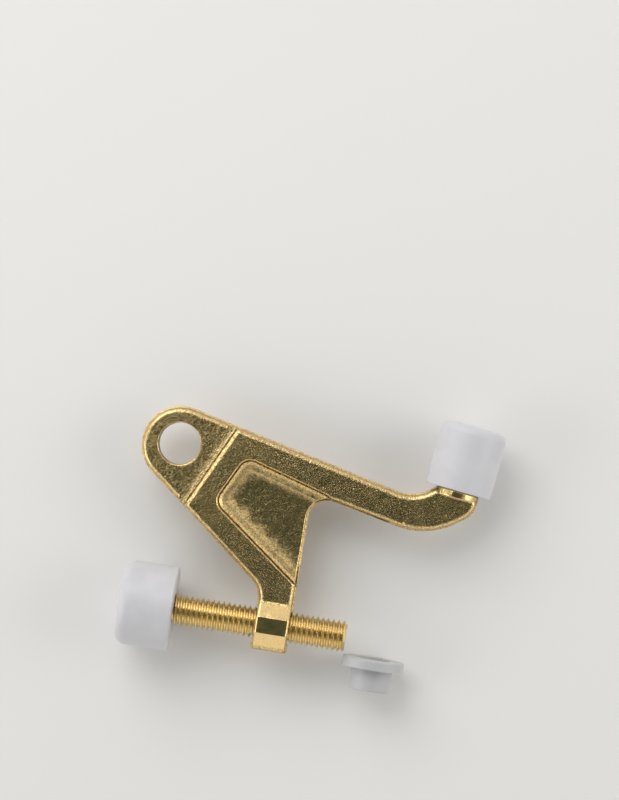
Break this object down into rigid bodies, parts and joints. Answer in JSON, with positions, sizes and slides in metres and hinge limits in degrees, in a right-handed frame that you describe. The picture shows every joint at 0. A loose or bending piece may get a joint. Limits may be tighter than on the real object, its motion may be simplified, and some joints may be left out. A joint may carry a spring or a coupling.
{
  "type": "hinge pin door stop",
  "caption": "Hinge pin door stop: cast bracket with an eye for the hinge pin, a capped arm, an adjusting screw with a bumper, and a loose pin bushing.",
  "frame": {"origin": "centre of the hinge-pin bore, on the casting's mid-plane", "axes": "+Z along the hinge-pin bore, +X along the adjusting screw away from its bumper, +Y towards the arm's cap; the stop lies flat"},
  "size_m": [0.068, 0.0529, 0.016],
  "materials": {
    "plated_casting": "polished brass plating on die-cast zinc, faces slightly rippled, rims bright",
    "plated_screw": "polished brass plating on a rolled steel thread",
    "white_bumper": "smooth moulded white elastomer, soft sheen",
    "white_nylon": "milky white moulded nylon"
  },
  "bodies": {
    "bracket": {"bracket": "plated_casting", "arm_cap": "white_bumper"},
    "screw_bumper": {"screw_bumper": "white_bumper"},
    "adjusting_screw": {"adjusting_screw": "plated_screw"},
    "pin_bushing": {"pin_bushing": "white_nylon"}
  },
  "joints": [
    {"name": "screw_advance", "type": "slide", "parent": "bracket", "child": "screw_bumper", "axis": [1, 0, 0], "range_m": [-0.01, 0.013]},
    {"name": "screw_turn", "type": "hinge", "parent": "screw_bumper", "child": "adjusting_screw", "pos_m": [0, -0.0311, 0], "axis": [1, 0, 0], "range_deg": [-3600, 4680]},
    {"name": "bushing_lift", "type": "slide", "parent": "bracket", "child": "pin_bushing", "axis": [0, 0, 1], "range_m": [0, 0.03]}
  ],
  "couplings": [
    {"joint": "screw_turn", "follows": "screw_advance", "rad_per_m": 6283.2}
  ]
}
